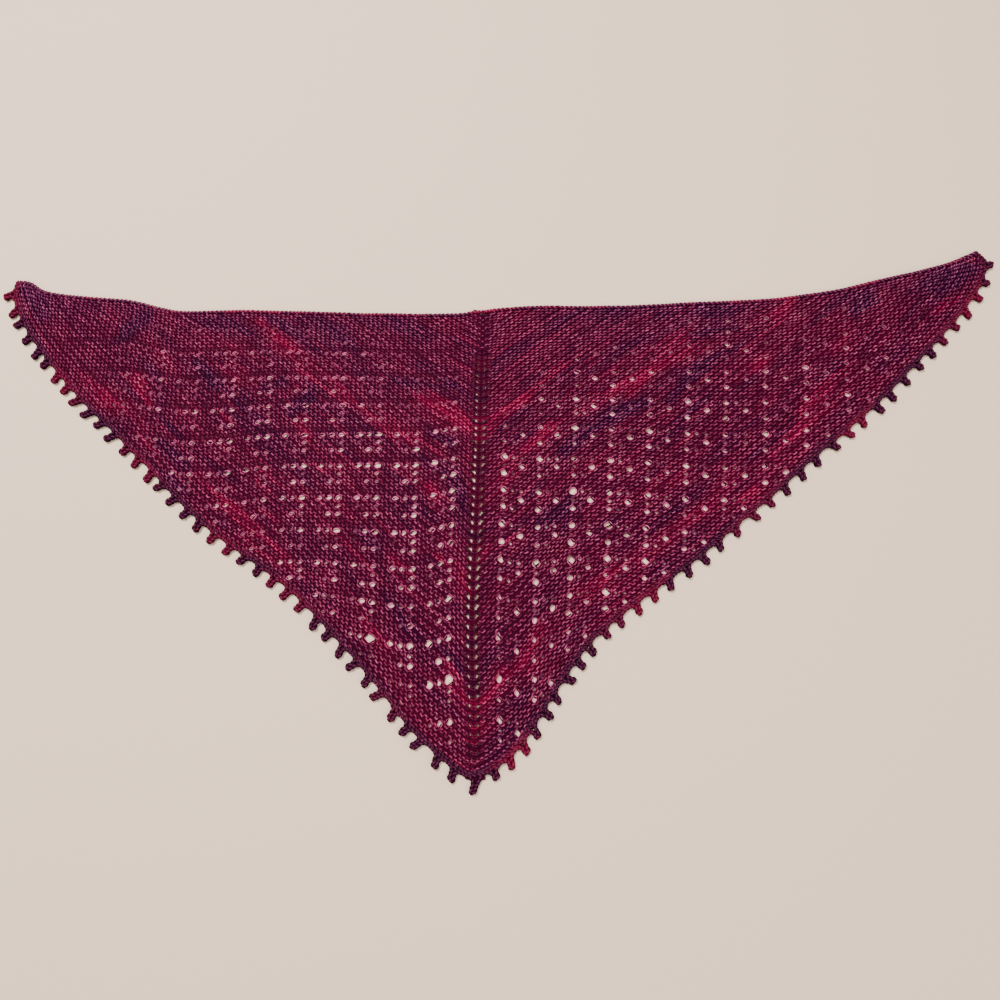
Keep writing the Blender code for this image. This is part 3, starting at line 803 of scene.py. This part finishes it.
# The neck edge: the first stitch of every row is slipped, which rolls the edge into a slim twisted cord,
# and its two halves meet over the spine.
CORD_YARN = 0.00125
CORD_TWIST = 0.00100  # how far each strand lies from the middle of its cord
CORD_WANDER = 0.0008
SLOW_TWIST, QUICK_TWIST = 5.0, 1.6  # how far the twist runs ahead and falls behind
NECK_CORD_INSET = 0.0023
TWIST_PITCH = {"neck": 0.0088, "picots": 0.0082, "bound off": 0.0084, "point": 0.0080}
edge_yarn = yarn_material("plum edge yarn", painted_highlight_level=0.10, strength=0.37)
neck_yarn = yarn_material("burgundy neck yarn", painted_highlight_level=0.30, strength=0.70)
NECK_DYES = {  # along each neck edge from the spine: (distance, plum, crimson)
    "left": (
        (0.000, 0.5, 0.1), (0.050, 0.7, 0.0), (0.200, 0.4, 0.3), (0.250, 0.2, 0.7), (0.290, 0.5, 0.3),
        (0.340, 0.9, 0.0), (0.420, 0.9, 0.0), (0.510, 0.7, 0.1),
    ),
    "right": (
        (0.000, 0.3, 0.5), (0.030, 0.4, 0.4), (0.080, 0.9, 0.0), (0.220, 0.9, 0.0), (0.290, 0.3, 0.5),
        (0.320, 0.1, 0.8), (0.350, 0.7, 0.1), (0.380, 0.9, 0.0), (0.400, 0.2, 0.5), (0.440, 0.9, 0.0),
        (0.560, 0.9, 0.0),
    ),
}


def twisted(path, pitch, seed, lift=0.0025):
    """Two strands twisted round each other along a path in plan."""
    steps = np.linalg.norm(np.diff(path, axis=0), axis=1)
    reached = np.concatenate([[0.0], np.cumsum(steps)])
    distance = np.linspace(0.0, reached[-1], max(int(reached[-1] / pitch * 7), 4))
    plan = np.stack([np.interp(distance, reached, path[:, k]) for k in (0, 1)], axis=-1)
    along = np.gradient(plan, axis=0)
    along = along / np.linalg.norm(along, axis=1, keepdims=True)
    across = np.stack([-along[:, 1], along[:, 0]], axis=-1)
    slow = grid_noise(seed, 1.0, 0.02, distance * 0, distance) - 0.5
    quick = grid_noise(seed + 1, 1.0, 0.006, distance * 0, distance) - 0.5
    phase = 2 * np.pi * distance / pitch + SLOW_TWIST * slow + QUICK_TWIST * quick
    strands, raised = [], []
    for half in (0.0, np.pi):
        rise = np.sin(phase + half)
        swing = CORD_TWIST * np.cos(phase + half) + CORD_WANDER * slow
        strands.append(np.column_stack([plan + across * swing[:, None], lift + CORD_TWIST * rise]))
        # Each strand is painted darker where it dips under the other: painted shade, from how high it lies in
        # the twist
        raised.append(0.5 + 0.5 * rise)
    return strands, distance, np.concatenate(raised)


for side in SIDE:
    edge = neck_edges[side]
    start = np.arange(0.0002, edge.length - 0.003, 0.002)
    inside = edge.at(start, np.full(len(start), -NECK_CORD_INSET))
    strands, distance, raised = twisted(inside, TWIST_PITCH["neck"], 5)
    dyes = np.array(NECK_DYES[side])
    uneven = 1.2 * (grid_noise(31, 1.0, 0.012, distance * 0, distance) - 0.5)
    plum = np.clip(np.interp(distance, dyes[:, 0], dyes[:, 1]) - uneven, 0.0, 1.0)
    crimson = np.clip(np.interp(distance, dyes[:, 0], dyes[:, 2]) + uneven, 0.0, 1.0)
    cord = strands_mesh(
        f"{side}_neck_cord", strands, CORD_YARN, neck_yarn,
        {"plum": np.tile(plum, 2), "crimson": np.tile(crimson, 2), "raised": raised}, roundness=1,
    )
    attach(cord, "root")
    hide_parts(f"{side}_neck_edge")
    wing_pieces[side].append(cord)

# The lower edges are bound off, and every few stitches the cord of the bind-off runs out and back in a
# picot, a nub of cast-on stitches. Its yarn runs from near black to red.
PICOTS = {
    "left": {"first": 0.024, "count": 37, "spacing": (0.0195, 0.0193, 0.0185), "seed": 4},
    "right": {"first": 0.019, "count": 37, "spacing": (0.0175, 0.0228, 0.0212), "seed": 9},
}
PICOT_REACH = {"left": 0.0104, "right": 0.0092}
PICOT_YARN = 0.00160
POINT_YARN = 0.00150
BOUND_OFF_INSETS = (0.0032, 0.0056)  # how far inside the outline the last two bound-off rows run
PICOT_PATH = (  # (along, share of the reach) of the cord on its way out, before it turns at the tip
    (-0.0062, -0.30), (-0.0032, -0.15), (-0.0019, 0.10), (-0.0017, 0.40), (-0.0021, 0.62), (-0.0013, 0.77),
)
TIP_PICOT = {"left": (1.0, 1.0), "right": (0.72, 1.0)}  # how long the picots are by the tip
VALLEY = -0.0034  # how far inside the outline the cord runs between two picots
# Runs of colour along the bound-off edge from the point: (first picot of the run, plum, crimson)
PICOT_DYES = {
    "left": (
        (0, 1.0, 0.0), (4, 0.6, 0.2), (6, 0.9, 0.0), (11, 0.4, 0.5), (14, 0.9, 0.0), (16, 0.3, 0.6),
        (18, 1.0, 0.0), (22, 0.3, 0.6), (24, 0.4, 0.3), (25, 1.0, 0.0), (28, 0.5, 0.2), (29, 0.2, 0.7),
        (31, 1.0, 0.0), (35, 0.2, 0.6), (37, 0.8, 0.2),
    ),
    "right": (
        (0, 0.9, 0.0), (1, 0.0, 1.0), (3, 1.0, 0.0), (9, 0.6, 0.3), (11, 0.2, 0.8), (13, 1.0, 0.0),
        (17, 0.6, 0.4), (20, 1.0, 0.0), (24, 0.2, 0.7), (26, 1.0, 0.0), (31, 0.6, 0.4), (33, 0.2, 0.8),
        (35, 0.9, 0.1),
    ),
}


def picot_places(side):
    """(distance along the edge, lean, size) of each picot."""
    spec = PICOTS[side]
    draw = random.Random(spec["seed"])
    near, middle, far = spec["spacing"]
    places, distance = [], spec["first"]
    for k in range(spec["count"]):
        share = k / (spec["count"] - 1)
        shift, lean, size = draw.uniform(-0.0014, 0.0014), draw.uniform(-0.45, 0.45), draw.uniform(0.85, 1.12)
        places.append((distance + shift, lean, size))
        if share < 0.5:
            distance += near + (middle - near) * 2 * share
        else:
            distance += middle + (far - middle) * (2 * share - 1)
    return places


def picot_marks(distance, lean, size, reach):
    """The cord's way out to the tip of a picot and back: (distance along the edge, outwards)."""
    half = [(at, out * reach * size) for at, out in PICOT_PATH]
    marks = half + [(0.0, 0.79 * reach * size)] + [(-at, out) for at, out in reversed(half)]
    return [(distance + at + lean * max(out, 0.0), out) for at, out in marks]


def run_of(rows, index):
    """The dyes of the run of colour that a picot falls in."""
    return next(row for row in reversed(rows) if row[0] <= index)[1:]


for side in SIDE:
    edge = lower_edges[side]
    places = [place for place in picot_places(side) if place[0] < edge.length - 0.006]
    marks = [(0.0085, VALLEY)]
    for k, (place, following) in enumerate(zip(places, places[1:] + [None])):
        longer = np.interp(edge.length - place[0], (0.03, 0.09), TIP_PICOT[side])
        marks += picot_marks(*place, PICOT_REACH[side] * longer)
        if following:
            marks.append(((place[0] + following[0]) / 2, VALLEY))
    marks.append((edge.length - 0.0015, VALLEY))
    way = smooth_line(marks)
    path = edge.at(way[:, 0], way[:, 1])
    strands, distance, raised = twisted(path, TWIST_PITCH["picots"], 8, lift=0.0027)
    reached = np.concatenate([[0.0], np.cumsum(np.linalg.norm(np.diff(path, axis=0), axis=1))])
    along_edge = np.interp(distance, reached, way[:, 0])
    mids = np.array([place[0] for place in places])
    dyes = np.array([run_of(PICOT_DYES[side], k) for k in range(len(places))])
    plum, crimson = (np.interp(along_edge, mids, dyes[:, k]) for k in (0, 1))
    cord = strands_mesh(
        f"{side}_picot_cord", strands, PICOT_YARN, edge_yarn,
        {"plum": np.tile(plum, 2), "crimson": np.tile(crimson, 2), "raised": raised}, roundness=1,
    )
    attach(cord, "root")
    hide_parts(f"{side}_picot_edge")
    wing_pieces[side].append(cord)
    # Inside the cord, the last bound-off rows fill the valleys and the feet of the picots
    strands, raised, near, red = [], [], [], []
    for inset in BOUND_OFF_INSETS:
        way = np.arange(0.004, edge.length - 0.002, 0.002)
        inside = edge.at(way, np.full(len(way), -inset))
        made, distance, rise = twisted(inside, TWIST_PITCH["bound off"], 12)
        strands += made
        raised.append(rise)
        share = np.linspace(0, distance[-1], len(mids))
        near.append(np.tile(np.interp(distance, share, dyes[:, 0]), 2) * 0.8)
        red.append(np.tile(np.interp(distance, share, dyes[:, 1]), 2) * 0.7)
    row_piece = strands_mesh(
        f"{side}_bound_off_row", strands, CORD_YARN, edge_yarn,
        {"plum": np.concatenate(near), "crimson": np.concatenate(red), "raised": np.concatenate(raised)},
    )
    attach(row_piece, "root")
    wing_pieces[side].append(row_piece)

# The bind-off goes round the bottom point in the darkest yarn, with a picot that is half as long again
# and leans a little to the left.
left_edge, right_edge = lower_edges["left"], lower_edges["right"]
tip = left_edge.points[0]
POINT_PATH = (
    (-0.0052, 0.0050), (-0.0032, 0.0020), (-0.0018, -0.0020), (-0.0018, -0.0058), (-0.0022, -0.0084),
    (-0.0012, -0.0098), (0.0003, -0.0100), (0.0012, -0.0086), (0.0011, -0.0058), (0.0015, -0.0020),
    (0.0032, 0.0020), (0.0052, 0.0050),
)
POINT_LEAN = 0.26  # out to the left for each metre down
marks = smooth_line(POINT_PATH)
marks[:, 0] += POINT_LEAN * np.minimum(marks[:, 1], 0.0)
before = left_edge.at(np.linspace(0.012, 0.0060, 6), np.full(6, VALLEY))
after = right_edge.at(np.linspace(0.0060, 0.012, 6), np.full(6, VALLEY))
path = np.vstack([before, marks + tip, after])
across_point = np.vstack([
    left_edge.at(np.linspace(0.020, 0.008, 7), np.full(7, -0.0062)),
    tip + np.array([0.0, 0.0085]),
    right_edge.at(np.linspace(0.008, 0.020, 7), np.full(7, -0.0062)),
])
under_point = across_point * 0.5 + 0.5 * (tip + np.array([0.0, 0.0030]))
point_strands, raises = [], []
for line in (path, across_point, under_point):
    strands, distance, raised = twisted(line, TWIST_PITCH["point"], 3)
    point_strands += strands
    raises.append(raised)
point_piece = strands_mesh(
    "point_picot_cord", point_strands, POINT_YARN, edge_yarn,
    {"plum": 0.95, "crimson": 0.0, "raised": np.concatenate(raises)}, roundness=1,
)
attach(point_piece, "root")
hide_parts("point_picot")
